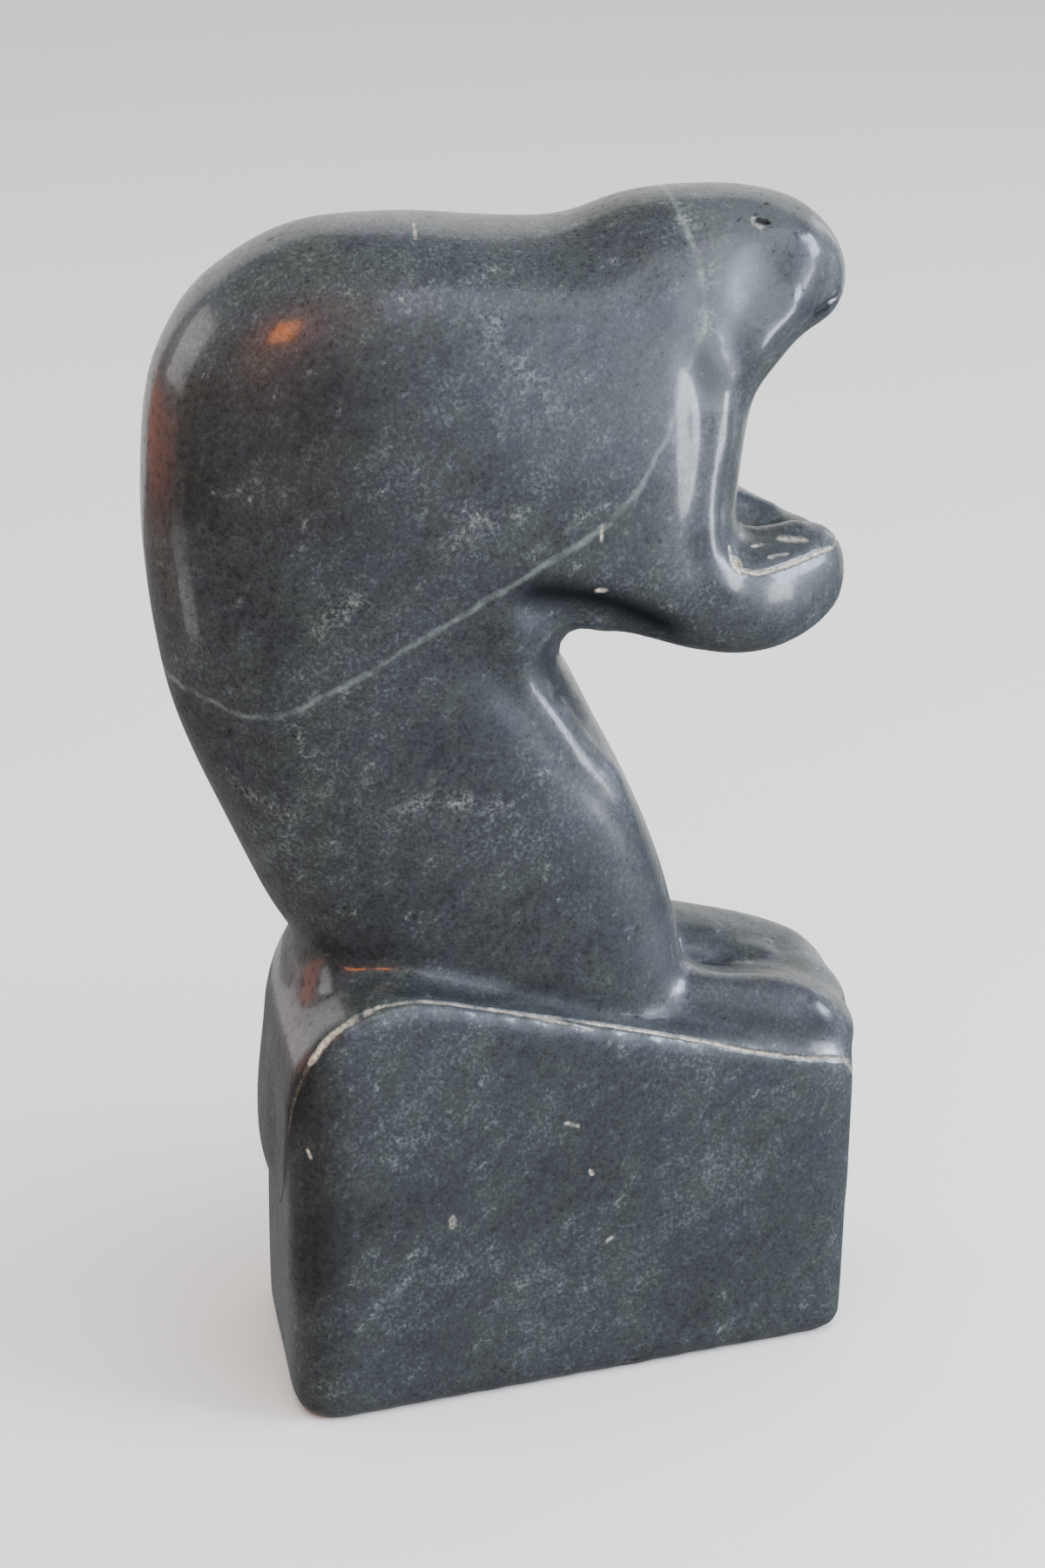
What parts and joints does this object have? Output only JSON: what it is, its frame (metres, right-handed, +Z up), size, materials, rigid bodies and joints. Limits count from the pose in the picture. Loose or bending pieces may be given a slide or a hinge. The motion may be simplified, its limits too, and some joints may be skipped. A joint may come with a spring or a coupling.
{
  "type": "soapstone bear carving",
  "caption": "Stylised upright bear in polished soapstone with joined paws, on a sloping rock base cut from the same stone.",
  "frame": {"origin": "on the flat underside of the rock, below the middle of the bear", "axes": "+X the way the bear faces, +Y to the bear's left, +Z up"},
  "size_m": [0.1195, 0.0586, 0.1998],
  "materials": {
    "soapstone": "hand polished, dark blue-grey with fine pale speckle and a thin pale vein"
  },
  "bodies": {
    "root": {"bear_carving": "soapstone"}
  },
  "joints": []
}
